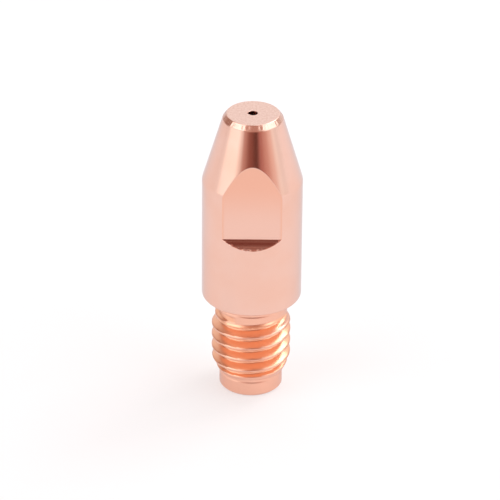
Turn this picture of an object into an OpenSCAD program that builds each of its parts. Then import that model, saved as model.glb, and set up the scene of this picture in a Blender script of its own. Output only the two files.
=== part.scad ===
// Contact tip for a gas-shielded welding torch: one turned copper piece.
// It stands on its tail, the nose points up +Z and one spanner flat faces -Y.

/* [Body] */
// Overall length from tail face to nose face
total_len = 30; // [26:0.5:45]
// Diameter of the plain body
body_d = 9.8; // [9.6:0.1:12]
// Rounding of the lower edge of the shoulder
shoulder_round = 0.3; // [0.2:0.1:0.9]

/* [Nose] */
// Length of the nose cone up to the nose face
cone_len = 7.1; // [5:0.1:8]
// Angle between the cone and the axis
cone_angle = 16.5; // [10:0.5:18]
// Height of the chamfer round the nose face
edge_h = 0.5; // [0.2:0.05:1]
// Width of the chamfer round the nose face
edge_w = 0.4; // [0.2:0.05:0.8]

/* [Spanner flats] */
// Spanner that grips the two flats
spanner = 8; // [7:0.5:8.5]
// Play between the spanner and the flats
spanner_play = 0.1; // [0.05:0.05:0.3]
// Length of the flats down from the nose face
flat_len = 11.7; // [9:0.1:14]
// Slope of the run-out below each flat, from level
flat_slope = 40; // [20:2.5:60]

/* [Thread] */
// Nominal thread diameter
thread_d = 8; // [7:0.5:8]
// Rise of the thread in one turn
pitch = 1.25; // [1:0.25:1.5]
// Gap between the crest and the nominal diameter, on the radius
crest_gap = 0.1; // [0.02:0.01:0.12]
// Stem from tail face to shoulder
stem_len = 10.2; // [8:0.1:12]
// Length of the plain neck under the shoulder
neck_len = 2.7; // [2.2:0.1:2.8]
// Depth of the neck below the crests
neck_cut = 0.33; // [0.15:0.02:0.39]
// Turns by which the groove runs on into the neck
run_out = 1.12; // [0.3:0.01:1.2]
// Part of a turn in which the groove fades out at its end
fade_turn = 0.15; // [0.15:0.05:0.6]
// Angle at which the groove starts, from +X towards +Y
groove_start = -155; // [-180:1:180]
// Facets of the groove in one turn
turn_facets = 36; // [24:4:48]

/* [Tail] */
// Length of the plain pilot at the lower end
tail_len = 1.5; // [0.8:0.1:2]
// Gap between the pilot and the thread root, on the radius
tail_gap = 0.02; // [0.02:0.01:0.2]
// Length of the taper from pilot to thread
lead_len = 1.75; // [1:0.05:2.5]
// Chamfer of the tail face
tail_edge = 0.2; // [0.1:0.05:0.4]

/* [Wire bore] */
// Welding wire that the tip is made for
wire_d = 0.8; // [0.6:0.1:1.6]
// Play of the wire in its bore
wire_play = 0.1; // [0.05:0.05:0.4]
// Mouth of the funnel in the tail face
funnel_d = 2.5; // [2.2:0.1:4]
// Full angle of the funnel
funnel_angle = 60; // [40:5:90]

/* [Hidden] */
$fn = 96;
// How far a cutter reaches past the surface that it cuts
over = 0.5;
body_r = body_d / 2;
bore_r = (wire_d + wire_play) / 2;

// Nose: the cone starts at cone_z, and its top edge is broken by a chamfer.
cone_z = total_len - cone_len;
edge_z = total_len - edge_h;
edge_r = body_r - (edge_z - cone_z) * tan(cone_angle);
face_r = edge_r - edge_w;

// Flats
flat_y = (spanner - spanner_play) / 2;
flat_z = total_len - flat_len;
flat_out = body_r + over - flat_y;

// Metric thread: 60 degree flanks, half a pitch wide at the pitch radius.
crest_r = thread_d / 2 - crest_gap;
pitch_r = crest_r - 0.3248 * pitch;
root_r = crest_r - 0.6134 * pitch;
neck_r = crest_r - neck_cut;
neck_z = stem_len - neck_len;
neck_slope = neck_cut * tan(30);
groove_out = crest_r + 0.1 * pitch;
groove_turns = neck_z / pitch + run_out;
fade_lift = neck_r + 0.02 - root_r;

// Tail
tail_r = root_r - tail_gap;
lead_z = tail_len + lead_len;
funnel_len = (funnel_d / 2 - bore_r) / tan(funnel_angle / 2);

// Half width of the groove at radius r, when it is lifted off its full depth.
function groove_half(r, lift) = pitch / 4 + (r - lift - pitch_r) * tan(30);

// How far the groove is lifted after a number of turns from its start.
function groove_lift(turn) =
    fade_lift * max(0, min(1, (turn - groove_turns + fade_turn) / fade_turn));

// A point of the groove at radius r, dz above the middle of the groove.
function groove_point(turn, r, dz) =
    [r * cos(360 * turn), r * sin(360 * turn), pitch * turn + dz];

// The four corners of the groove's section, from its upper rim round to its lower rim.
function groove_section(turn) =
    let (lift = groove_lift(turn), deep = root_r + lift)
    let (rim = groove_half(groove_out, lift), foot = groove_half(deep, lift))
    [
        groove_point(turn, groove_out, rim),
        groove_point(turn, deep, foot),
        groove_point(turn, deep, -foot),
        groove_point(turn, groove_out, -rim)
    ];

// Half section of the turned blank, from the axis outwards.
module blank_section() {
    difference() {
        polygon([
            [0, 0],
            [tail_r - tail_edge, 0],
            [tail_r, tail_edge],
            [tail_r, tail_len],
            [crest_r, lead_z],
            [crest_r, neck_z - neck_slope],
            [neck_r, neck_z],
            [neck_r, stem_len],
            [body_r, stem_len],
            [body_r, cone_z],
            [edge_r, edge_z],
            [face_r, total_len],
            [0, total_len]
        ]);
        shoulder_corner();
    }
}

// What the rounding takes off the lower corner of the shoulder.
module shoulder_corner() {
    translate([body_r - shoulder_round, stem_len])
        difference() {
            translate([0, -over])
                square([shoulder_round + over, shoulder_round + over]);
            translate([0, shoulder_round])
                circle(r = shoulder_round);
        }
}

// One flat and its sloped run-out, as the cutter leaves them on the +Y side.
module flat_cut() {
    rotate([90, 0, 90])
        linear_extrude(height = body_d + 2 * over, center = true)
            polygon([
                [flat_y, flat_z],
                [flat_y + flat_out, flat_z - flat_out * tan(flat_slope)],
                [flat_y + flat_out, total_len + over],
                [flat_y, total_len + over]
            ]);
}

// Right-hand thread groove that fades out in the neck.
module thread_groove() {
    last = ceil(groove_turns * turn_facets);
    rings = [for (i = [0 : last]) groove_section(groove_turns * i / last)];
    points = [for (ring = rings) for (p = ring) p];
    sides = [
        for (i = [0 : last - 1]) for (j = [0 : 3])
            let (a = 4 * i + j, b = 4 * i + (j + 1) % 4)
            each [[a, b, a + 4], [b, b + 4, a + 4]]
    ];
    top = 4 * last;
    ends = [[3, 2, 1, 0], [top, top + 1, top + 2, top + 3]];
    rotate([0, 0, groove_start])
        polyhedron(points, concat(sides, ends));
}

// Bore for the wire, with the funnel that leads it in at the tail.
module wire_bore() {
    translate([0, 0, -over])
        cylinder(r = bore_r, h = total_len + 2 * over);
    translate([0, 0, -over])
        cylinder(
            r1 = funnel_d / 2 + over * tan(funnel_angle / 2),
            r2 = bore_r,
            h = funnel_len + over
        );
}

// The whole tip: turned, milled, threaded and drilled.
module contact_tip() {
    color([0.85, 0.53, 0.40])
        difference() {
            rotate_extrude()
                blank_section();
            flat_cut();
            mirror([0, 1, 0])
                flat_cut();
            thread_groove();
            wire_bore();
        }
}

contact_tip();
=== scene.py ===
"""Dresses a welding contact tip: one turned copper piece that stands on a pale studio floor.

The tip is one closed surface over a grid of two parameters: the angle round the axis, and the way along
the section, from the wire bore over the nose and body, down the thread to the tail and back up the bore.
Sizes are in millimetres, as in the part's source. The meshes are in metres.
"""

import logging
import math
from collections.abc import Sequence
from dataclasses import dataclass, field
from enum import Enum

import bpy
import numpy as np
from mathutils import Matrix, Vector

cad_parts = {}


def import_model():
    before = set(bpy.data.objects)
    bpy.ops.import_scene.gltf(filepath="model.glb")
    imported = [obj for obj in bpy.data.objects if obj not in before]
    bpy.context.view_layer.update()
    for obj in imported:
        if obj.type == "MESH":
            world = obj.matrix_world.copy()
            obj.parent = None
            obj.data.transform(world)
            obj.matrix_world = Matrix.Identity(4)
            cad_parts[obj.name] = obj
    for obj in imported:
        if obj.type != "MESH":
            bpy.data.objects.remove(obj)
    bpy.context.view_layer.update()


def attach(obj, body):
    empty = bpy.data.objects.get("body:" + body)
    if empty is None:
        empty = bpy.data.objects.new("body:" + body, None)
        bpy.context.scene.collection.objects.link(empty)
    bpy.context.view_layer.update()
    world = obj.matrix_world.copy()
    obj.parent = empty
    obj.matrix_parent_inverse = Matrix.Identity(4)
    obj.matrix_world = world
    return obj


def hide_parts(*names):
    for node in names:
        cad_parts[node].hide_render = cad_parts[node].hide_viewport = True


log = logging.getLogger("contact_tip")

MM = 0.001
MICRON = 0.001 * MM

# Metric thread: slope of a flank, and depth of the pitch line and of the root below the crest, in pitches
FLANK_SLOPE = math.tan(math.radians(30.0))
PITCH_LINE_DEPTH = 0.3248
ROOT_DEPTH = 0.6134

Colour = tuple[float, float, float, float]
Range = tuple[float, float]
Tent = tuple[tuple[float, float, float, float], ...]
Grid = tuple[np.ndarray, np.ndarray]

WHITE: Colour = (1.0, 1.0, 1.0, 1.0)


class Zone(Enum):
    """Parts of the tip whose colour differs from plain turned copper, each with its own mesh attribute; the
    bore's and the groove's colours are painted shade and painted bounce light.
    """

    FLAT = "milled_flat"
    RIM = "milled_rim"
    LEDGE = "milled_ledge"
    FACE = "nose_face"
    CHAMFER = "nose_chamfer"
    BORE_SHADE = "wire_bore"
    GROOVE_BOUNCE = "thread_groove"


class Socket:
    """The output of a shader node. Arithmetic on it adds the Math nodes that work it out."""

    def __init__(self, tree: "ShaderTree", link: bpy.types.NodeSocket | None) -> None:
        """Wraps an output.

        Args:
            tree: The tree that holds the node.
            link: The output itself, or None for a node that has none.
        """
        self.tree = tree
        self.link = link

    def sibling(self, name: str) -> "Socket":
        """Another output of the same node."""
        return Socket(self.tree, self.link.node.outputs[name])

    def __add__(self, other: "Socket | float") -> "Socket":
        """Sum of two values."""
        return self.tree.maths("ADD", self, other)

    def __radd__(self, other: float) -> "Socket":
        """Sum of a number and a value."""
        return self.tree.maths("ADD", other, self)

    def __sub__(self, other: "Socket | float") -> "Socket":
        """Difference of two values."""
        return self.tree.maths("SUBTRACT", self, other)

    def __rsub__(self, other: float) -> "Socket":
        """A number less a value."""
        return self.tree.maths("SUBTRACT", other, self)

    def __mul__(self, other: "Socket | float") -> "Socket":
        """Product of two values."""
        return self.tree.maths("MULTIPLY", self, other)

    def __rmul__(self, other: float) -> "Socket":
        """Product of a number and a value."""
        return self.tree.maths("MULTIPLY", other, self)

    def __truediv__(self, other: "Socket | float") -> "Socket":
        """Quotient of two values."""
        return self.tree.maths("DIVIDE", self, other)

    def __neg__(self) -> "Socket":
        """The value with its sign turned."""
        return self.tree.maths("MULTIPLY", self, -1.0)


class ShaderTree:
    """The node tree of a material or a world, written from scratch."""

    def __init__(self, owner: bpy.types.Material | bpy.types.World) -> None:
        """Empties the owner's tree.

        Args:
            owner: The material or world whose tree is written.
        """
        owner.use_nodes = True
        self.nodes = owner.node_tree.nodes
        self.links = owner.node_tree.links
        self.nodes.clear()

    def node(
        self,
        kind: str,
        settings: dict[str, object] | None = None,
        sockets: dict[str, object] | None = None,
        output: str | None = None,
    ) -> Socket:
        """Adds one node.

        Args:
            kind: The node's type.
            settings: Its own settings, which are set first. A ramp's stops are pairs of place and colour.
            sockets: Values or links of its inputs, by name or identifier.
            output: Name or identifier of the output that is wanted, or None for the first.

        Returns:
            That output.
        """
        node = self.nodes.new(kind)
        for name, value in (settings or {}).items():
            if name == "stops":
                self.set_stops(node.color_ramp, value)
            else:
                setattr(node, name, value)
        for name, value in (sockets or {}).items():
            target = self.find(node.inputs, name)
            if isinstance(value, Socket):
                self.links.new(value.link, target)
            else:
                target.default_value = value
        if output:
            return Socket(self, self.find(node.outputs, output))
        return Socket(self, next(iter(node.outputs), None))

    def find(self, sockets: Sequence[bpy.types.NodeSocket], name: str) -> bpy.types.NodeSocket:
        """The socket in use that has this name or identifier."""
        return next(s for s in sockets if name in (s.identifier, s.name) and s.enabled)

    def set_stops(self, ramp: bpy.types.ColorRamp, stops: Sequence[tuple[float, Colour]]) -> None:
        """Gives a ramp its stops, eased from each to the next.

        Args:
            ramp: The ramp of a new node, which has two stops.
            stops: Place and colour of each stop, from the lowest place up.
        """
        ramp.interpolation = "EASE"
        for place, _ in stops[2:]:
            ramp.elements.new(place)
        for element, (place, colour) in zip(ramp.elements, stops):
            element.position = place
            element.color = colour

    def maths(self, operation: str, *values: Socket | float) -> Socket:
        """One Math node on one or two values."""
        inputs = dict(zip(("Value", "Value_001"), values))
        return self.node("ShaderNodeMath", {"operation": operation}, inputs)

    def ease(self, value: Socket, low: float, high: float) -> Socket:
        """Adds a smooth step.

        Args:
            value: What the step depends on.
            low: Value up to which the step is 0.
            high: Value from which it is 1.

        Returns:
            The step.
        """
        return self.node(
            "ShaderNodeMapRange",
            {"interpolation_type": "SMOOTHSTEP"},
            {"Value": value, "From Min": low, "From Max": high},
        )

    def mix(self, share: Socket, first: Socket | Colour, second: Socket | Colour) -> Socket:
        """Mixes two colours.

        Args:
            share: Part of the second colour, from 0 to 1.
            first: Colour where the share is 0.
            second: Colour where it is 1.

        Returns:
            The mixed colour.
        """
        return self.node(
            "ShaderNodeMix",
            {"data_type": "RGBA"},
            {"Factor_Float": share, "A_Color": first, "B_Color": second},
            "Result_Color",
        )

    def attribute(self, zone: Zone) -> Socket:
        """The mesh attribute that marks a zone."""
        return self.node("ShaderNodeAttribute", {"attribute_name": zone.value}, output="Fac")

    def noise(self, place: Socket, scale: float, detail: float) -> Socket:
        """Noise from 0 to 1, with the scale in waves per metre."""
        return self.node("ShaderNodeTexNoise", None, {"Vector": place, "Scale": scale, "Detail": detail})


@dataclass(frozen=True)
class CopperFinish:
    """Bright copper with the marks that the lathe, the mill and the saw leave, and with light and shade
    painted into some of its colours.

    Waves are counted per millimetre, reliefs are in thousandths of a millimetre and heights in millimetres.
    """

    # The body's copper is paler than the stem's: a painted highlight, the lit copy of one metal. Warm
    # clouds vary it at random.
    pale_lit: Colour = (0.855, 0.555, 0.46, 1.0)
    warm: Colour = (0.85, 0.525, 0.42, 1.0)
    milled: Colour = (0.865, 0.545, 0.447, 1.0)
    milled_top: Colour = (0.865, 0.467, 0.345, 1.0)
    rim: Colour = (0.86, 0.47, 0.345, 1.0)
    # The ledge's dark tone lies in its tool lines, and towards its top in the corner under the flat it is
    # painted shade.
    ledge: Colour = (0.89, 0.465, 0.36, 1.0)
    ledge_dark_lines_and_shade: Colour = (0.52, 0.165, 0.115, 1.0)
    stem: Colour = (0.9, 0.505, 0.375, 1.0)
    # The groove's deep orange is painted light, bounced between the thread's flanks.
    groove: Colour = (0.96, 0.505, 0.325, 1.0)
    # The face's pale tone is partly painted sheen; its darker speckles are real grain.
    face: Colour = (0.95, 0.668, 0.577, 1.0)
    face_dark: Colour = (0.85, 0.562, 0.465, 1.0)
    # The bore's dark red is painted shade inside the wire hole.
    bore: Colour = (0.5, 0.12, 0.05, 1.0)
    grazing: Colour = (0.79, 0.845, 0.895, 1.0)
    turned_rough: float = 0.12
    milled_rough: float = 0.2
    stem_rough: float = 0.26
    face_rough: float = 0.3
    chamfer_rough: float = 0.1
    cloud_rough: float = 0.06
    ring_pitch: float = 0.09
    line_waves: float = 4.2
    grain_waves: float = 5.0
    cloud_waves: float = 0.26
    ring_relief: float = 0.3
    line_relief: float = 0.8
    ledge_relief: float = 9.0
    grain_relief: float = 4.0
    chamfer_relief: float = 12.0
    cloud_range: Range = (0.35, 0.7)
    grain_range: Range = (0.35, 0.65)
    # How far the ledge is painted darker towards its top: painted shade.
    line_shade_range: Range = (0.15, 0.55)
    ledge_top_shade: float = 0.3
    stem_heights: Range = (10.1, 10.4)
    ledge_heights: Range = (17.5, 18.3)
    flat_heights: Range = (19.5, 24.5)

    def by_height(self, tree: ShaderTree, height: Socket, span: Range) -> Socket:
        """A smooth step from 0 at the lower height of a span, in millimetres, to 1 at the upper."""
        return tree.ease(height, span[0] * MM, span[1] * MM)

    def material(self) -> bpy.types.Material:
        """Builds the node material.

        Turned surfaces have rings by height on the axis. The flats have level milling lines and a warmer
        rim, and their ledges have deeper lines and a painted shade that darkens them towards their tops, in
        the corner under each flat. The nose face has grain, and its pale tone is partly painted sheen. The
        chamfer is the roughest.
        The body's copper is paler than the stem's as a painted highlight, the groove's deep orange is
        painted bounce light, and the bore's dark red is painted shade. The grazing tint makes the outlines
        a little greyer.

        Returns:
            The material.
        """
        material = bpy.data.materials.new("copper")
        tree = ShaderTree(material)
        place = tree.node("ShaderNodeTexCoord", output="Object")
        height = tree.node("ShaderNodeSeparateXYZ", None, {"Vector": place}, "Z")
        flat = tree.attribute(Zone.FLAT)
        rim = tree.attribute(Zone.RIM)
        ledge = tree.attribute(Zone.LEDGE)
        face = tree.attribute(Zone.FACE)
        chamfer = tree.attribute(Zone.CHAMFER)
        bore = tree.attribute(Zone.BORE_SHADE)
        groove = tree.attribute(Zone.GROOVE_BOUNCE)
        # The stem keeps the deeper copper, where the body's paler copper is a painted highlight.
        stem = 1.0 - self.by_height(tree, height, self.stem_heights)

        ring_place = tree.node("ShaderNodeCombineXYZ", None, {"Z": height})
        rings = tree.noise(ring_place, 1.0 / (self.ring_pitch * MM), detail=3.0)
        lines = tree.noise(ring_place, self.line_waves / MM, detail=2.0)
        grain = tree.noise(place, self.grain_waves / MM, detail=3.0)
        cloud = tree.noise(place, self.cloud_waves / MM, detail=4.0)

        turned = (1.0 - face) * (1.0 - chamfer)
        relief = (
            turned * rings * self.ring_relief
            + flat * lines * self.line_relief
            + ledge * lines * self.ledge_relief
            + face * grain * self.grain_relief
            + chamfer * grain * self.chamfer_relief
        )
        normal = tree.node("ShaderNodeBump", None, {"Strength": 1.0, "Distance": MICRON, "Height": relief})
        rough = (
            self.turned_rough
            + (flat + ledge) * (self.milled_rough - self.turned_rough)
            + face * (self.face_rough - self.turned_rough)
            + stem * (self.stem_rough - self.turned_rough)
            + chamfer * self.chamfer_rough
            + cloud * self.cloud_rough
        )
        on_flat = tree.mix(self.by_height(tree, height, self.flat_heights), self.milled, self.milled_top)
        # Tool lines on the ledge, darkened towards its top by painted shade.
        lines_with_shade = lines - self.ledge_top_shade * self.by_height(tree, height, self.ledge_heights)
        on_ledge = tree.mix(tree.ease(lines_with_shade, *self.line_shade_range), self.ledge_dark_lines_and_shade, self.ledge)
        # Grain speckles on the face, over a pale tone that is partly painted sheen.
        on_face = tree.mix(tree.ease(grain, *self.grain_range), self.face_dark, self.face)
        layers = [
            (flat, on_flat),
            (rim, self.rim),
            (ledge, on_ledge),
            (face, on_face),
            (stem, self.stem),
            (groove, self.groove),
            (bore, self.bore),
        ]
        colour = tree.mix(tree.ease(cloud, *self.cloud_range), self.pale_lit, self.warm)
        for share, tone in layers:
            colour = tree.mix(share, colour, tone)
        surface = tree.node(
            "ShaderNodeBsdfPrincipled",
            None,
            {
                "Base Color": colour,
                "Metallic": 1.0,
                "Roughness": rough,
                "Specular Tint": self.grazing,
                "Normal": normal,
            },
        )
        tree.node("ShaderNodeOutputMaterial", None, {"Surface": surface})
        return material


def unit(values: np.ndarray) -> np.ndarray:
    """Values held between 0 and 1."""
    return np.clip(values, 0.0, 1.0)


def smooth_min(first: np.ndarray, second: np.ndarray, blend: float) -> np.ndarray:
    """The smaller of two arrays, with the corner between them rounded.

    Where the two lie within blend of each other, a parabola leads from one to the other.

    Args:
        first: One array.
        second: The other, of a shape that fits.
        blend: Reach of the rounding.

    Returns:
        The rounded minimum.
    """
    share = unit(0.5 + 0.5 * (second - first) / blend)
    return second + (first - second) * share - blend * share * (1.0 - share)


def smooth_max(first: np.ndarray, second: np.ndarray, blend: float) -> np.ndarray:
    """The larger of two arrays, rounded as in smooth_min."""
    return -smooth_min(-first, -second, blend)


def crowded(steps: int, share: float = 0.8) -> np.ndarray:
    """Steps from 0 up to, but not including, 1 that lie closer at both ends.

    An even step and a cosine step, added in proportion.

    Args:
        steps: Number of steps.
        share: Part of the cosine.

    Returns:
        The steps, as a column.
    """
    even = np.arange(steps) / steps
    cosine = 0.5 - 0.5 * np.cos(np.pi * even)
    return ((1.0 - share) * even + share * cosine)[:, None]


def graded(start: float, stop: float, steps: int, share: float = 0.86) -> np.ndarray:
    """Angles from start to stop, both included, that lie closer near stop."""
    even = np.linspace(0.0, 1.0, steps + 1)
    return start + (stop - start) * (even + share * np.sin(np.pi * even) / np.pi)


def rounded_path(
    corners: Sequence[tuple[float, float]],
    rounds: Sequence[float],
    line_steps: Sequence[int],
    arc_steps: int,
) -> np.ndarray:
    """A section line with its corners rounded.

    Each straight stretch is stepped closer at its ends. Each corner is a parabola from one stretch to the
    next.

    Args:
        corners: Points of radius and height, the ends among them.
        rounds: How far the rounding reaches from each inner corner.
        line_steps: Steps on each stretch.
        arc_steps: Steps round each corner.

    Returns:
        Points of radius and height. The last end is left out, because the next stretch starts there.
    """
    points = np.array(corners, float)
    ways = np.diff(points, axis=0)
    ways /= np.linalg.norm(ways, axis=1)[:, None]
    reach = np.array([0.0, *rounds, 0.0])[:, None]
    leave = points[:-1] + ways * reach[:-1]
    arrive = points[1:] - ways * reach[1:]
    bend = (np.arange(arc_steps) / arc_steps)[:, None]
    rows = []
    for i, steps in enumerate(line_steps):
        rows.append(leave[i] + (arrive[i] - leave[i]) * crowded(steps))
        if i < len(rounds):
            middle = 2 * points[i + 1] * bend * (1 - bend)
            rows.append(arrive[i] * (1 - bend) ** 2 + middle + leave[i + 1] * bend**2)
    return np.concatenate(rows)


@dataclass(frozen=True)
class TipSizes:
    """Sizes of the tip in millimetres and degrees, the same as in the part's source."""

    total_len: float = 30.0
    body_d: float = 9.8
    shoulder_round: float = 0.3
    cone_len: float = 7.1
    cone_angle: float = 16.5
    edge_h: float = 0.5
    edge_w: float = 0.4
    spanner: float = 8.0
    spanner_play: float = 0.1
    flat_len: float = 11.7
    flat_slope: float = 40.0
    thread_d: float = 8.0
    pitch: float = 1.25
    crest_gap: float = 0.1
    stem_len: float = 10.2
    neck_len: float = 2.7
    neck_cut: float = 0.33
    run_out: float = 1.12
    fade_turn: float = 0.15
    fade_over: float = 0.02
    groove_start: float = -155.0
    tail_len: float = 1.5
    tail_gap: float = 0.02
    lead_len: float = 1.75
    tail_edge: float = 0.2
    wire_d: float = 0.8
    wire_play: float = 0.1
    funnel_d: float = 2.5
    funnel_angle: float = 60.0

    @property
    def body_r(self) -> float:
        """Radius of the body."""
        return self.body_d / 2

    @property
    def bore_r(self) -> float:
        """Radius of the wire bore."""
        return (self.wire_d + self.wire_play) / 2

    @property
    def cone_z(self) -> float:
        """Height at which the nose cone starts."""
        return self.total_len - self.cone_len

    @property
    def edge_z(self) -> float:
        """Height of the lower edge of the nose chamfer."""
        return self.total_len - self.edge_h

    @property
    def face_r(self) -> float:
        """Radius of the nose face."""
        return self.cone_r(self.edge_z) - self.edge_w

    @property
    def flat_y(self) -> float:
        """Distance of a flat from the axis."""
        return (self.spanner - self.spanner_play) / 2

    @property
    def flat_z(self) -> float:
        """Height of the lower end of the flats."""
        return self.total_len - self.flat_len

    @property
    def crest_r(self) -> float:
        """Radius of the thread's crests."""
        return self.thread_d / 2 - self.crest_gap

    @property
    def pitch_r(self) -> float:
        """Radius at which groove and ridge are equally wide."""
        return self.crest_r - PITCH_LINE_DEPTH * self.pitch

    @property
    def root_r(self) -> float:
        """Radius of the bottom of the groove."""
        return self.crest_r - ROOT_DEPTH * self.pitch

    @property
    def neck_r(self) -> float:
        """Radius of the plain neck."""
        return self.crest_r - self.neck_cut

    @property
    def neck_z(self) -> float:
        """Height at which the neck starts."""
        return self.stem_len - self.neck_len

    @property
    def neck_slope(self) -> float:
        """Height of the slope from the crests to the neck."""
        return self.neck_cut * FLANK_SLOPE

    @property
    def groove_turns(self) -> float:
        """Turns of the groove from the tail face to its end in the neck."""
        return self.neck_z / self.pitch + self.run_out

    @property
    def fade_lift(self) -> float:
        """How far the groove is lifted at its end."""
        return self.neck_r + self.fade_over - self.root_r

    @property
    def tail_r(self) -> float:
        """Radius of the pilot."""
        return self.root_r - self.tail_gap

    @property
    def lead_z(self) -> float:
        """Height of the upper end of the lead taper."""
        return self.tail_len + self.lead_len

    @property
    def funnel_len(self) -> float:
        """Length of the funnel at the tail."""
        return (self.funnel_d / 2 - self.bore_r) / math.tan(math.radians(self.funnel_angle / 2))

    def cone_r(self, height: float | np.ndarray) -> float | np.ndarray:
        """Radius of the nose cone at a height."""
        return self.body_r - (height - self.cone_z) * math.tan(math.radians(self.cone_angle))


@dataclass(frozen=True)
class GridSteps:
    """Steps of the tip's grid: columns in a quarter turn, and rows on each stretch of the section.

    Lines and arcs are the steps on each straight and round each corner of a section line.
    """

    plain_columns: int = 36
    flat_columns: int = 29
    cone_rows: int = 40
    flat_rows: int = 34
    ledge_rows: int = 14
    body_rows: int = 24
    thread_rows: int = 131
    nose_lines: tuple[int, ...] = (10, 16, 9, 3)
    nose_arcs: int = 4
    shoulder_lines: tuple[int, ...] = (2, 5, 1)
    shoulder_arcs: int = 10
    tail_lines: tuple[int, ...] = (8, 3, 7, 7)
    tail_arcs: int = 3
    rim_tries: int = 4


@dataclass(frozen=True)
class ToolMarks:
    """Small marks of tools and wear, in millimetres.

    They are broken edges, shallow turned reliefs, the lip that the thread die raised on the neck and the
    wider end of the groove above it, slightly rounded run-outs with a ragged burr, the nick in the wire
    hole and the dents in the chamfer. The lip's angles are in degrees, and the nick's width is in radians.
    """

    edge_break: float = 0.03
    hole_round: float = 0.02
    face_round: float = 0.05
    chamfer_round: float = 0.06
    neck_round: float = 0.1
    tail_rounds: tuple[float, ...] = (0.04, 0.04, 0.06)
    crest_round: float = 0.035
    relief: float = 0.05
    relief_len: float = 0.5
    neck_relief_len: float = 0.96
    lip: float = 0.2
    lip_len: float = 0.25
    lip_from: float = 200.0
    lip_to: float = 345.0
    lip_rise: float = 30.0
    lip_fade: float = 45.0
    spread: float = 0.3
    spread_turn: float = 0.2
    sag: float = 0.1
    burr: float = 0.12
    burr_len: float = 0.09
    burr_fade: float = 0.1
    burr_waves: int = 120
    burr_patches: int = 24
    burr_mean: float = 0.75
    burr_swing: float = 0.4
    burr_least: float = 0.4
    nick: float = 0.13
    nick_depth: float = 0.6
    nick_width: float = 0.38
    dent: float = 0.008
    dent_width: float = 0.16
    dent_waves: int = 64
    seed: int = 7


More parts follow.
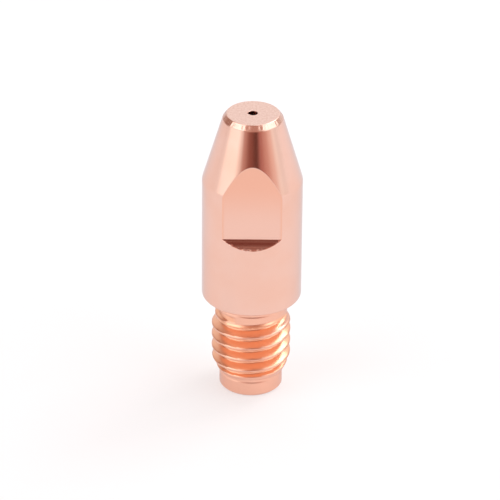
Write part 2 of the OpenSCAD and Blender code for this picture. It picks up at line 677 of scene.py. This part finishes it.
@dataclass
class ContactTip:
    """The tip as one closed surface, with the small marks of tools and wear.

    Gaps are the distances between an edge of the tip and the place where one stretch of the surface ends
    and the next starts. Fades are the distances over which a zone's colour comes in; in the bore and the
    groove that colour is painted shade and painted bounce light.
    """

    sizes: TipSizes = field(default_factory=TipSizes)
    finish: CopperFinish = field(default_factory=CopperFinish)
    steps: GridSteps = field(default_factory=GridSteps)
    marks: ToolMarks = field(default_factory=ToolMarks)
    cone_gap: float = 0.2
    body_gap: float = 0.05
    neck_gap: float = 0.13
    ledge_gap: float = 0.03
    ledge_drop: float = 0.1
    least_sine: float = 0.02
    rim_depth: float = 0.16
    zone_fade: float = 0.04
    bore_top: float = 0.06
    bore_fade: float = 0.1
    groove_fade: float = 0.06

    def columns(self) -> np.ndarray:
        """Angles of the columns, one turn, closer where the edges of the flats run.

        Returns:
            Angles in radians, as a row.
        """
        edge = math.asin(self.sizes.flat_y / self.sizes.body_r)
        plain = graded(0.0, edge, self.steps.plain_columns)
        flat = graded(math.pi / 2, edge, self.steps.flat_columns)[::-1]
        quarter = np.concatenate([plain[:-1], flat])
        half = np.concatenate([quarter, math.pi - quarter[-2::-1]])
        return np.concatenate([half[:-1], half[:-1] + math.pi])[None, :]

    def ripple(self, angle: np.ndarray, waves: int) -> np.ndarray:
        """Uneven height round the tip, about -1 to 1: a sum of waves with seeded phases.

        Args:
            angle: Angles in radians.
            waves: Highest number of waves in a turn.

        Returns:
            The height at each angle.
        """
        draws = np.random.default_rng(self.marks.seed + waves)
        counts = np.arange(waves // 4, waves)[:, None]
        phases = draws.uniform(0.0, 2.0 * np.pi, counts.shape)
        return np.sin(counts * angle + phases).sum(axis=0, keepdims=True) / math.sqrt(len(counts))

    def profile(self, height: np.ndarray) -> np.ndarray:
        """Turned radius of body and cone at each height: the smaller of the two, with the edge broken."""
        s = self.sizes
        return smooth_min(np.full_like(height, s.body_r), s.cone_r(height), 2 * self.marks.edge_break)

    def flat_limit(self, angle: np.ndarray, height: np.ndarray) -> np.ndarray:
        """Radius at which a flat or its sloped run-out cuts the body.

        The flat's distance from the axis, plus the run-out's reach below the flat, over the sine of the
        angle. The reach grows with the drop below the flat, and a little faster in its upper part.

        Args:
            angle: Angles in radians.
            height: Heights.

        Returns:
            The radius, large where the flat is turned away.
        """
        s = self.sizes
        slope = math.tan(math.radians(s.flat_slope))
        drop = s.flat_z - height
        reach = drop / slope + self.marks.sag * drop * ((s.body_r - s.flat_y) * slope - drop)
        run = smooth_max(reach, np.zeros_like(reach), self.marks.edge_break)
        sine = np.maximum(np.abs(np.sin(angle)), self.least_sine)
        return (s.flat_y + run) / sine

    def body_grid(self, angle: np.ndarray, top: float, bottom: float) -> Grid:
        """The cone, the flats, their run-outs and the plain body.

        Rows follow the curves in which the flats meet the cone and the run-outs meet the body, so that
        these edges lie on the grid. The radius is the smaller of the turned one and the flat's, with the
        edge broken. A ragged burr stands up from the lower edge of the run-out, square to its slope.

        Args:
            angle: Angles of the columns.
            top: Height of the first row.
            bottom: Height of the row after the last.

        Returns:
            Radius and height of each point.
        """
        s = self.sizes
        limit = self.flat_limit(angle, np.full_like(angle, s.cone_z))
        depth = s.body_r * np.abs(np.sin(angle)) - s.flat_y
        cut = np.maximum(s.body_r - limit, 0.0)
        flat_top = s.cone_z + cut / math.tan(math.radians(s.cone_angle))
        ledge_top = np.full_like(angle, s.flat_z)
        lean = math.radians(s.flat_slope)
        reach = np.maximum(s.body_r - self.flat_limit(angle, ledge_top), 0.0) * np.abs(np.sin(angle))
        ledge_low = s.flat_z - reach * math.tan(lean) - self.ledge_gap
        ledge_low -= self.ledge_drop * np.maximum(-depth, 0.0)
        levels = [np.full_like(angle, top), flat_top, ledge_top, ledge_low, np.full_like(angle, bottom)]
        counts = [self.steps.cone_rows, self.steps.flat_rows, self.steps.ledge_rows, self.steps.body_rows]
        height = np.concatenate(
            [high + (low - high) * crowded(n) for high, low, n in zip(levels[:-1], levels[1:], counts)]
        )
        radius = smooth_min(self.profile(height), self.flat_limit(angle, height), self.marks.edge_break)
        near = np.exp(-(((height - ledge_low) / self.marks.burr_len) ** 2))
        burr = self.marks.burr * near * unit(depth / self.marks.burr_fade) * self.ragged(angle)
        return radius + burr * math.sin(lean), height + burr * math.cos(lean)

    def ragged(self, angle: np.ndarray) -> np.ndarray:
        """Height of the burr round the tip: fine teeth that are taller in some places than in others.

        Args:
            angle: Angles in radians.

        Returns:
            The height at each angle, from 0 to 1.
        """
        teeth = unit(self.ripple(angle, self.marks.burr_waves))
        patches = self.marks.burr_mean + self.marks.burr_swing * self.ripple(angle, self.marks.burr_patches)
        return teeth * np.clip(patches, self.marks.burr_least, 1.0)

    def blank(self, height: np.ndarray) -> np.ndarray:
        """Radius of the stem before the thread is cut, straight between its corners.

        A shallow relief, turned with the same tool, runs round the pilot's upper end and round the neck
        under the shoulder.

        Args:
            height: Heights.

        Returns:
            The radius at each height.
        """
        s = self.sizes
        relief_top = s.tail_len + self.marks.relief_len
        lead_r = s.tail_r + (s.crest_r - s.tail_r) * self.marks.relief_len / s.lead_len
        neck_ring = s.stem_len - self.marks.neck_relief_len
        corners = [
            (s.tail_len, s.tail_r),
            (s.tail_len + self.marks.relief, s.tail_r - self.marks.relief),
            (relief_top - 2 * self.marks.relief, s.tail_r - self.marks.relief),
            (relief_top, lead_r),
            (s.lead_z, s.crest_r),
            (s.neck_z - s.neck_slope, s.crest_r),
            (s.neck_z, s.neck_r),
            (neck_ring, s.neck_r),
            (neck_ring + self.marks.relief, s.neck_r - self.marks.relief),
        ]
        heights, radii = zip(*corners)
        return np.interp(height, heights, radii)

    def raised(self, angle: np.ndarray, height: np.ndarray) -> np.ndarray:
        """The lip that the thread die has raised on the neck, along the upper rim of the last full groove.

        It follows the groove's flank out to its ridge, falls to the neck in a slope, and fades in and out
        round the stem.

        Args:
            angle: Angles in radians.
            height: Heights.

        Returns:
            What the lip adds to the radius.
        """
        s = self.sizes
        around = np.degrees(angle) % 360.0
        turn = round(s.neck_z / s.pitch) - 1 + (around - s.groove_start) / 360.0
        offset = height - s.pitch * turn
        ridge = s.pitch / 4 + (s.neck_r + self.marks.lip - s.pitch_r) * FLANK_SLOPE
        fall = unit(1.0 - (offset - ridge) / self.marks.lip_len) * (offset > 0.0)
        rise = unit((around - self.marks.lip_from) / self.marks.lip_rise)
        fade = unit((self.marks.lip_to - around) / self.marks.lip_fade)
        return self.marks.lip * fall * rise * fade

    def thread_grid(self, angle: np.ndarray, top: float, bottom: float) -> Grid:
        """The threaded stem.

        The groove's middle climbs one pitch in a turn, anticlockwise seen from above. The groove reaches in
        to the root radius, or to the flank: the pitch radius plus the distance from the middle less a
        quarter pitch, over the slope of a flank. The stem is the smaller of blank and groove. In the last
        part of a turn the groove spreads downwards, and is then lifted until it leaves the stem. Rows move
        up or down by less than half a step so that they lie on the rims and feet of the flanks.

        Args:
            angle: Angles of the columns.
            top: Height of the first row.
            bottom: Height of the row after the last.

        Returns:
            Radius and height of each point.
        """
        s = self.sizes
        step = (top - bottom) / self.steps.thread_rows
        level = top - step * np.arange(self.steps.thread_rows)[:, None]
        part = (angle - math.radians(s.groove_start)) / (2.0 * np.pi)
        turn = np.round(level / s.pitch - part) + part
        middle = s.pitch * turn
        lift = s.fade_lift * unit((turn - s.groove_turns + s.fade_turn) / s.fade_turn)
        offset = level - middle
        side = np.sign(offset)
        late = (turn - s.groove_turns + s.fade_turn + self.marks.spread_turn) / self.marks.spread_turn
        spread = self.marks.spread * unit(late) * (side < 0.0)
        foot = spread + s.pitch / 4 + (s.root_r - s.pitch_r) * FLANK_SLOPE
        rim = np.full_like(offset, s.pitch / 2)
        for _ in range(self.steps.rim_tries):
            stem = self.blank(middle + side * rim) + self.raised(angle, middle + side * rim)
            rim = spread + s.pitch / 4 + (stem - s.pitch_r - lift) * FLANK_SLOPE
        to_foot = side * foot - offset
        to_rim = side * rim - offset
        move = np.where(np.abs(to_foot) < np.abs(to_rim), to_foot, to_rim)
        move[np.abs(move) >= step / 2] = 0.0
        move[[0, -1]] = 0.0
        height = level + move
        away = np.abs(height - middle) - spread
        flank = s.pitch_r + lift + (away - s.pitch / 4) / FLANK_SLOPE
        groove = smooth_max(s.root_r + lift, flank, self.marks.crest_round)
        groove[turn > s.groove_turns] = s.body_r
        stem = self.blank(height) + self.raised(angle, height)
        return smooth_min(stem, groove, self.marks.crest_round), height

    def nose_grid(self, angle: np.ndarray, bottom: float) -> Grid:
        """The bore from the funnel up, the hole's edge, the nose face, its chamfer and the top of the cone.

        The section is a rounded line. The nick pushes the hole's edge outwards on one side, less and less
        towards the rim of the face and down the bore. Dents lower and raise the chamfer a little.

        Args:
            angle: Angles of the columns.
            bottom: Height on the cone at which the next stretch starts.

        Returns:
            Radius and height of each point.
        """
        s = self.sizes
        corners = [
            (s.bore_r, s.funnel_len),
            (s.bore_r, s.total_len),
            (s.face_r, s.total_len),
            (s.cone_r(s.edge_z), s.edge_z),
            (s.cone_r(bottom), bottom),
        ]
        rounds = (self.marks.hole_round, self.marks.face_round, self.marks.chamfer_round)
        section = rounded_path(corners, rounds, self.steps.nose_lines, self.steps.nose_arcs)
        radius = section[:, :1]
        height = section[:, 1:]
        across = unit((radius - s.bore_r) / (s.face_r - s.bore_r))
        under = unit((s.total_len - height) / self.marks.nick_depth)
        aside = (angle % (2.0 * np.pi) - np.pi) / self.marks.nick_width
        nick = self.marks.nick * np.exp(-(aside**2)) * (1.0 - across) ** 4 * (1.0 - under) ** 2
        chamfer_middle = (s.total_len + s.edge_z) / 2
        edge = np.exp(-(((height - chamfer_middle) / self.marks.dent_width) ** 2)) * across**8
        dent = self.marks.dent * edge * self.ripple(angle, self.marks.dent_waves)
        return radius + nick + dent, height + dent

    def turned_grid(self, angle: np.ndarray, section: np.ndarray) -> Grid:
        """A section line carried round the axis unchanged."""
        return section[:, :1] + 0.0 * angle, section[:, 1:] + 0.0 * angle

    def surface(self) -> tuple[np.ndarray, np.ndarray, np.ndarray]:
        """The whole closed surface, stretch after stretch.

        Returns:
            Angles as a row, and radius and height of each grid point.
        """
        s = self.sizes
        angle = self.columns()
        cone_top = s.edge_z - self.cone_gap
        body_low = s.stem_len + s.shoulder_round + self.body_gap
        neck_low = s.stem_len - self.neck_gap
        neck_r = s.neck_r - self.marks.relief
        shoulder = rounded_path(
            [(s.body_r, body_low), (s.body_r, s.stem_len), (neck_r, s.stem_len), (neck_r, neck_low)],
            (s.shoulder_round, self.marks.neck_round),
            self.steps.shoulder_lines,
            self.steps.shoulder_arcs,
        )
        tail = rounded_path(
            [
                (s.tail_r, s.tail_len),
                (s.tail_r, s.tail_edge),
                (s.tail_r - s.tail_edge, 0.0),
                (s.funnel_d / 2, 0.0),
                (s.bore_r, s.funnel_len),
            ],
            self.marks.tail_rounds,
            self.steps.tail_lines,
            self.steps.tail_arcs,
        )
        stretches = [
            self.nose_grid(angle, cone_top),
            self.body_grid(angle, cone_top, body_low),
            self.turned_grid(angle, shoulder),
            self.thread_grid(angle, neck_low, s.tail_len),
            self.turned_grid(angle, tail),
        ]
        radius = np.concatenate([radii for radii, _ in stretches])
        height = np.concatenate([np.broadcast_to(heights, radii.shape) for radii, heights in stretches])
        return angle, radius, height

    def zones(self, radius: np.ndarray, height: np.ndarray) -> dict[Zone, np.ndarray]:
        """Share of each zone's colour at each grid point, finish and painted light alike.

        A flat is where the surface lies inside the turned radius, its rim where it lies only a little
        inside, and its ledge the same as the flat below the flat's end. The face, the chamfer and the bore
        follow from height and radius. The groove is where the surface leaves the stem's blank, inwards or
        in the lip outwards.

        Args:
            radius: Radius of each point.
            height: Height of each point.

        Returns:
            The shares, from 0 to 1.
        """
        s = self.sizes
        marks = self.marks
        above_shoulder = height > s.stem_len + s.shoulder_round
        on_body = above_shoulder & (height < s.edge_z - self.cone_gap) & (radius > s.face_r)
        depth = self.profile(height) - radius
        milled = np.where(on_body, unit(depth / marks.edge_break), 0.0)
        rim = milled * unit(1.0 - depth / self.rim_depth)
        below = unit((s.flat_z - height) / marks.edge_break)

        hole_r = s.bore_r + marks.hole_round
        face = unit((height - s.total_len + marks.face_round) / self.zone_fade) * (radius > hole_r)
        past_face = radius > s.face_r - marks.face_round
        chamfer = unit((height - s.edge_z) / self.zone_fade) * (1.0 - face) * past_face
        # The bore's share places its painted shade.
        in_bore = radius < hole_r + marks.nick
        bore = unit((s.total_len - self.bore_top - height) / self.bore_fade) * in_bore

        below_relief = height < s.stem_len - marks.neck_relief_len
        on_stem = (height > s.tail_len) & below_relief & (radius > s.funnel_d / 2)
        # The groove's share places its painted bounce light.
        groove = np.where(on_stem, unit(np.abs(self.blank(height) - radius) / self.groove_fade), 0.0)
        return {
            Zone.FLAT: milled * (1.0 - below),
            Zone.RIM: rim * (1.0 - below),
            Zone.LEDGE: milled * below,
            Zone.FACE: face,
            Zone.CHAMFER: chamfer,
            Zone.BORE_SHADE: bore,
            Zone.GROOVE_BOUNCE: groove,
        }

    def build(self) -> bpy.types.Object:
        """Puts the surface into a mesh and dresses it.

        Each grid cell is two triangles, split from its lower left to its upper right, the way the thread
        climbs. The last row joins the first in the bore, and the last column the first.

        Returns:
            The tip's object.
        """
        angle, radius, height = self.surface()
        rows, columns = radius.shape
        points = np.stack([radius * np.cos(angle), radius * np.sin(angle), height], axis=-1)
        points = points.reshape(-1, 3) * MM
        index = np.arange(rows * columns).reshape(rows, columns)
        lower = np.roll(index, -1, axis=0)
        right = np.roll(index, -1, axis=1)
        lower_right = np.roll(lower, -1, axis=1)
        upper_half = np.stack([index, lower, right], axis=-1)
        lower_half = np.stack([right, lower, lower_right], axis=-1)
        faces = np.concatenate([upper_half.reshape(-1, 3), lower_half.reshape(-1, 3)])

        mesh = bpy.data.meshes.new("copper_tip")
        mesh.vertices.add(len(points))
        mesh.vertices.foreach_set("co", points.ravel())
        mesh.loops.add(faces.size)
        mesh.loops.foreach_set("vertex_index", faces.ravel())
        mesh.polygons.add(len(faces))
        mesh.polygons.foreach_set("loop_start", np.arange(0, faces.size, 3))
        mesh.polygons.foreach_set("use_smooth", np.ones(len(faces), bool))
        mesh.update(calc_edges=True)
        for zone, share in self.zones(radius, height).items():
            layer = mesh.attributes.new(zone.value, "FLOAT", "POINT")
            layer.data.foreach_set("value", share.astype(np.float32).ravel())
        mesh.materials.append(self.finish.material())

        tip = bpy.data.objects.new("copper_tip", mesh)
        bpy.context.scene.collection.objects.link(tip)
        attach(tip, "root")
        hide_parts("contact_tip")
        log.info("copper_tip: %d rows, %d columns, %d triangles", rows, columns, len(faces))
        return tip


@dataclass(frozen=True)
class FloorFinish:
    """Matt white studio board."""

    white: Colour = (0.985, 0.975, 1.0, 1.0)
    glow: float = 0.52

    def material(self) -> bpy.types.Material:
        """Builds the node material: matt board, mixed with plain white for the camera and for reflections.

        Returns:
            The material.
        """
        material = bpy.data.materials.new("studio_floor")
        tree = ShaderTree(material)
        path = tree.node("ShaderNodeLightPath", output="Is Camera Ray")
        shown = path + path.sibling("Is Glossy Ray") + path.sibling("Is Transmission Ray")
        board = tree.node("ShaderNodeBsdfDiffuse", None, {"Color": self.white})
        light = tree.node("ShaderNodeEmission", None, {"Color": WHITE, "Strength": 1.0})
        surface = tree.node(
            "ShaderNodeMixShader",
            None,
            {"Fac": tree.maths("MINIMUM", shown, 1.0) * self.glow, "Shader": board, "Shader_001": light},
        )
        tree.node("ShaderNodeOutputMaterial", None, {"Surface": surface})
        return material


@dataclass(frozen=True)
class SoftBox:
    """A rectangular lamp that looks at the tip."""

    name: str
    azimuth: float
    elevation: float
    radiance: float
    width: float
    height: float = 0.22
    distance: float = 0.5

    def build(self, target: Vector) -> bpy.types.Object:
        """Places the lamp. Its power is radiance times pi times area.

        Args:
            target: The point that it looks at.

        Returns:
            The lamp's object.
        """
        lamp = bpy.data.lights.new(self.name, "AREA")
        lamp.shape = "RECTANGLE"
        lamp.size = self.width
        lamp.size_y = self.height
        lamp.energy = self.radiance * math.pi * self.width * self.height
        turn = math.radians(self.azimuth)
        rise = math.radians(self.elevation)
        level = math.cos(rise)
        way = Vector((math.sin(turn) * level, -math.cos(turn) * level, math.sin(rise)))
        box = bpy.data.objects.new(self.name, lamp)
        box.location = target + way * self.distance
        box.rotation_euler = way.to_track_quat("Z", "Y").to_euler()
        bpy.context.scene.collection.objects.link(box)
        return box


@dataclass
class Studio:
    """Pale floor, white tent with a dark opening in front, three soft boxes, and the camera.

    A tent's rows are azimuth from the front in degrees and brightness in red, green and blue. The low,
    middle and high rows meet in the two ranges of elevation. The camera's sizes are in millimetres, pixels
    and degrees.
    """

    floor_side: float = 0.7
    floor_cells: int = 8
    floor: FloorFinish = field(default_factory=FloorFinish)
    boxes: tuple[SoftBox, ...] = (
        SoftBox("left_box", -62.0, 39.0, 0.8, 0.47),
        SoftBox("right_box", 74.0, 37.0, 0.8, 0.46),
        SoftBox("rear_box", 127.0, 48.0, 3.7, 0.2, 0.25),
    )
    panel: float = 1.06
    low_tent: Tent = (
        (-180.0, 0.94, 0.94, 0.94),
        (-156.0, 0.94, 0.93, 0.93),
        (-138.0, 0.48, 0.35, 0.31),
        (-107.0, 0.54, 0.43, 0.4),
        (-90.0, 0.94, 0.94, 0.94),
        (-80.0, 1.25, 1.26, 1.24),
        (-46.0, 1.3, 1.3, 1.27),
        (-36.0, 0.95, 0.86, 0.82),
        (-26.0, 0.56, 0.315, 0.27),
        (-8.0, 0.265, 0.087, 0.067),
        (11.0, 0.11, 0.03, 0.022),
        (25.0, 0.485, 0.205, 0.178),
        (39.0, 0.66, 0.37, 0.315),
        (58.0, 0.89, 0.66, 0.59),
        (70.0, 1.0, 0.97, 0.94),
        (82.0, 0.9, 0.88, 0.87),
        (96.0, 0.94, 0.94, 0.94),
        (108.0, 0.69, 0.62, 0.62),
        (124.0, 0.9, 0.89, 0.89),
        (180.0, 0.94, 0.94, 0.94),
    )
    mid_tent: Tent = (
        (-180.0, 0.94, 0.94, 0.94),
        (-152.0, 0.93, 0.92, 0.92),
        (-135.0, 0.72, 0.62, 0.58),
        (-122.0, 0.36, 0.2, 0.155),
        (-108.0, 0.28, 0.14, 0.1),
        (-99.0, 0.42, 0.26, 0.22),
        (-91.0, 1.1, 1.1, 1.1),
        (-46.0, 1.1, 1.1, 1.1),
        (-30.0, 0.62, 0.39, 0.33),
        (10.0, 0.5, 0.27, 0.22),
        (32.0, 0.62, 0.39, 0.33),
        (48.0, 1.1, 1.1, 1.1),
        (104.0, 1.1, 1.1, 1.1),
        (112.0, 0.58, 0.45, 0.4),
        (130.0, 0.62, 0.5, 0.45),
        (142.0, 0.92, 0.9, 0.9),
        (180.0, 0.94, 0.94, 0.94),
    )
    high_tent: Tent = (
        (-180.0, 1.12, 1.12, 1.12),
        (-46.0, 1.12, 1.12, 1.12),
        (-28.0, 0.2, 0.085, 0.07),
        (11.0, 0.1, 0.04, 0.032),
        (36.0, 0.3, 0.15, 0.13),
        (62.0, 1.12, 1.12, 1.12),
        (180.0, 1.12, 1.12, 1.12),
    )
    low_to_mid: Range = (6.0, 14.0)
    mid_to_high: Range = (60.0, 73.0)
    image_side: int = 500
    sensor: float = 36.0
    focal_pixels: float = 3574.2
    elevation: float = 29.42
    roll: float = 0.533
    distance: float = 350.0
    middle_height: float = 15.0
    middle_pixel: tuple[float, float] = (251.8, 249.3)
    clip_start: float = 10.0

    def build_floor(self) -> bpy.types.Object:
        """Lays the floor under the tip: a level square grid.

        Returns:
            The floor's object.
        """
        side = np.linspace(-0.5, 0.5, self.floor_cells + 1) * self.floor_side
        x, y = np.meshgrid(side, side)
        points = np.stack([x, y, np.zeros_like(x)], axis=-1).reshape(-1, 3)
        index = np.arange(x.size).reshape(x.shape)
        corners = [index[:-1, :-1], index[:-1, 1:], index[1:, 1:], index[1:, :-1]]
        faces = np.stack(corners, axis=-1)
        mesh = bpy.data.meshes.new("studio_floor")
        mesh.from_pydata(points.tolist(), [], faces.reshape(-1, 4).tolist())
        mesh.materials.append(self.floor.material())
        floor = bpy.data.objects.new("studio_floor", mesh)
        bpy.context.scene.collection.objects.link(floor)
        log.info("studio_floor: %.2f m square", self.floor_side)
        return floor

    def stops(self, tent: Tent) -> list[tuple[float, Colour]]:
        """A tent's rows as the stops of a ramp that starts and ends behind the tip."""
        return [(azimuth / 360.0 + 0.5, (*colour, 1.0)) for azimuth, *colour in tent]

    def build_world(self) -> None:
        """Makes the tent.

        Its brightness depends on the direction: azimuth from the front, to the right, and elevation. The
        camera sees it plain white.
        """
        world = bpy.data.worlds.new("studio_tent")
        bpy.context.scene.world = world
        tree = ShaderTree(world)
        way = tree.node("ShaderNodeTexCoord", output="Generated")
        axes = tree.node("ShaderNodeSeparateXYZ", None, {"Vector": way})
        degrees = math.degrees(1.0)
        azimuth = tree.maths("ARCTAN2", axes.sibling("X"), -axes.sibling("Y")) * degrees
        rise = tree.maths("ARCSINE", axes.sibling("Z")) * degrees
        around = azimuth / 360.0 + 0.5
        low, mid, high = (
            tree.node("ShaderNodeValToRGB", {"stops": self.stops(tent)}, {"Fac": around})
            for tent in (self.low_tent, self.mid_tent, self.high_tent)
        )
        tent = tree.mix(tree.ease(rise, *self.low_to_mid), low, mid)
        tent = tree.mix(tree.ease(rise, *self.mid_to_high), tent, high)
        camera = tree.node("ShaderNodeLightPath", output="Is Camera Ray")
        colour = tree.mix(camera, tent, WHITE)
        strength = self.panel + camera * (1.0 - self.panel)
        background = tree.node("ShaderNodeBackground", None, {"Color": colour, "Strength": strength})
        tree.node("ShaderNodeOutputWorld", None, {"Surface": background})
        log.info("studio_tent: built")

    def build_lamps(self) -> None:
        """Hangs the soft boxes."""
        middle = Vector((0.0, 0.0, self.middle_height * MM))
        for box in self.boxes:
            box.build(middle)
            log.info("%s: azimuth %.0f, elevation %.0f", box.name, box.azimuth, box.elevation)

    def build_camera(self) -> bpy.types.Object:
        """Sets up the camera so that the tip's middle falls on its pixel.

        Returns:
            The camera's object.
        """
        rise = math.radians(self.elevation)
        roll = math.radians(self.roll)
        ahead = Vector((0.0, math.cos(rise), -math.sin(rise)))
        level = Vector((1.0, 0.0, 0.0))
        upright = Vector((0.0, math.sin(rise), math.cos(rise)))
        right = level * math.cos(roll) + upright * math.sin(roll)
        up = upright * math.cos(roll) - level * math.sin(roll)
        per_pixel = self.distance / self.focal_pixels
        centre = self.image_side / 2
        aside = (centre - self.middle_pixel[0]) * per_pixel
        above = (self.middle_pixel[1] - centre) * per_pixel
        aim = Vector((0.0, 0.0, self.middle_height)) + right * aside + up * above
        place = (aim - ahead * self.distance) * MM

        lens = bpy.data.cameras.new("studio_camera")
        lens.sensor_width = self.sensor
        lens.lens = self.focal_pixels * self.sensor / self.image_side
        lens.clip_start = self.clip_start * MM
        camera = bpy.data.objects.new("studio_camera", lens)
        turn = Matrix((right, up, -ahead)).transposed()
        camera.matrix_world = Matrix.Translation(place) @ turn.to_4x4()
        bpy.context.scene.collection.objects.link(camera)
        bpy.context.scene.camera = camera
        log.info("studio_camera: lens %.1f mm", lens.lens)
        return camera


def main() -> None:
    """Builds the tip and the studio in order."""
    logging.basicConfig(level=logging.INFO)
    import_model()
    bpy.context.scene.view_settings.view_transform = "Standard"
    ContactTip().build()
    studio = Studio()
    studio.build_floor()
    studio.build_world()
    studio.build_lamps()
    studio.build_camera()


if __name__ == "__main__":
    main()
